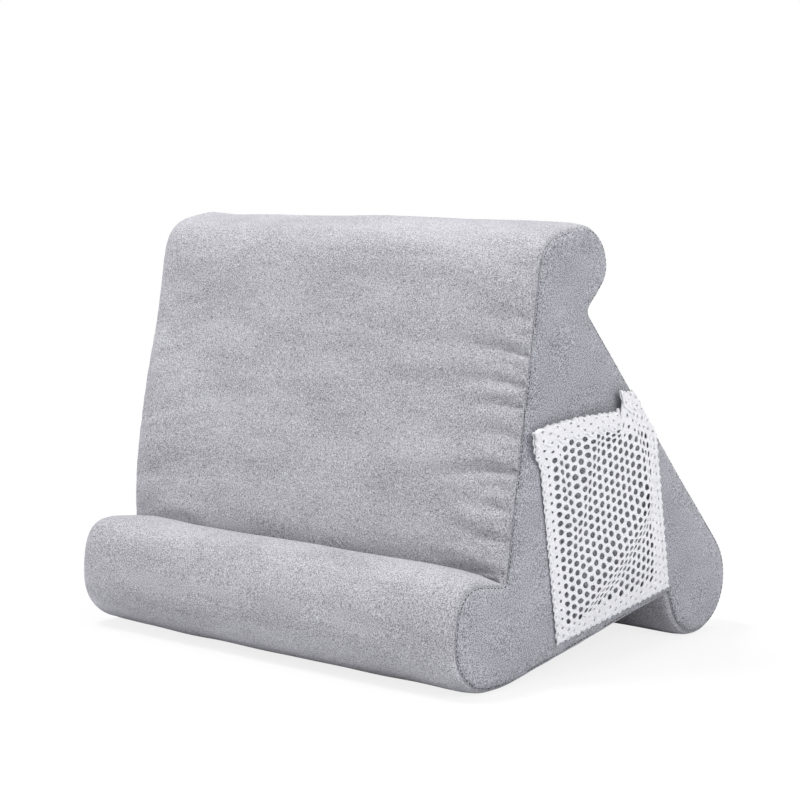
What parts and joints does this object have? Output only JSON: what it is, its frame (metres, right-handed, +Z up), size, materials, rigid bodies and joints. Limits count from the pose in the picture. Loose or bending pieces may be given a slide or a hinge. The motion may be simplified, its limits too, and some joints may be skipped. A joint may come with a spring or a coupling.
{
  "type": "tablet cushion stand",
  "caption": "Soft wedge stand that props a tablet on its ledge: a foam core in a sewn plush cover, with an open net pocket on one side.",
  "frame": {"origin": "middle of the base of the box round the whole part, on the surface that it stands on", "axes": "+X across the width to the side with the net pocket, -Y to the front where the tablet stands, +Z up"},
  "size_m": [0.2762, 0.225, 0.2193],
  "materials": {
    "foam": "open-cell polyurethane foam",
    "plush": "short-pile grey plush",
    "panel_plush": "short-pile grey plush",
    "net": "white warp-knitted net",
    "grey_thread": "grey sewing thread",
    "white_thread": "white sewing thread"
  },
  "bodies": {
    "root": {"foam_core": "foam", "cover_wrap": "plush", "right_side_panel": "panel_plush", "left_side_panel": "panel_plush", "mesh_pocket": "net", "right_seam_thread": "grey_thread", "left_seam_thread": "grey_thread", "pocket_seam_thread": "white_thread", "pocket_hem_thread": "white_thread"}
  },
  "joints": []
}
